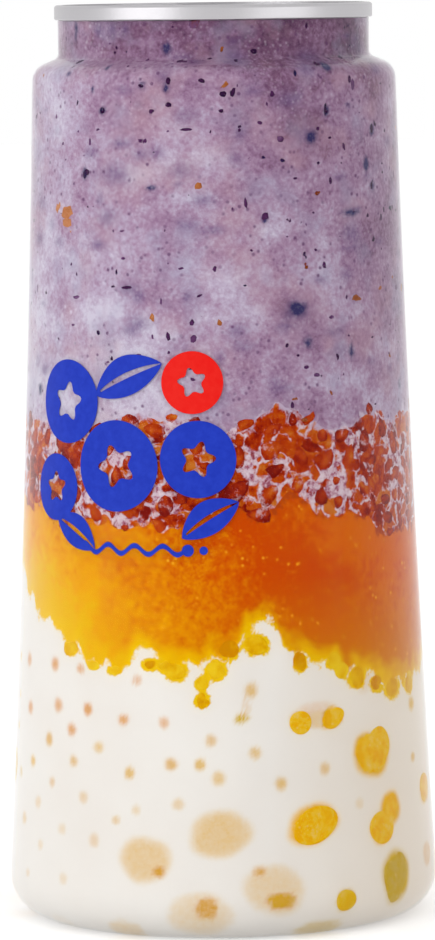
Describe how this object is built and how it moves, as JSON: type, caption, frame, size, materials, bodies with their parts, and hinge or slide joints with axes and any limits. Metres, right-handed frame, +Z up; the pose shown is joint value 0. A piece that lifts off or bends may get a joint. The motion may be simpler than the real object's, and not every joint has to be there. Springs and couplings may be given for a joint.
{
  "type": "blueberry frappe",
  "caption": "Blueberry frappe layered over citrus pulp, mango and milk in a clear flared drinks can with a seamed aluminium end and a pull tab.",
  "frame": {"origin": "middle of the face that the can stands on", "axes": "+Z up along the can's axis, -Y towards the front, +X to the right seen from the front"},
  "size_m": [0.073, 0.073, 0.1553],
  "materials": {
    "can_wall": "clear, glossy",
    "lid_end": "satin",
    "pull_tab": "satin",
    "milk": "smooth liquid",
    "mango": "smooth puree",
    "pulp": "wet pulp",
    "smoothie": "thick liquid"
  },
  "bodies": {
    "root": {"can_wall": "can_wall", "lid_end": "lid_end", "pull_tab": "pull_tab", "milk": "milk", "mango": "mango", "pulp": "pulp", "smoothie": "smoothie"}
  },
  "joints": []
}
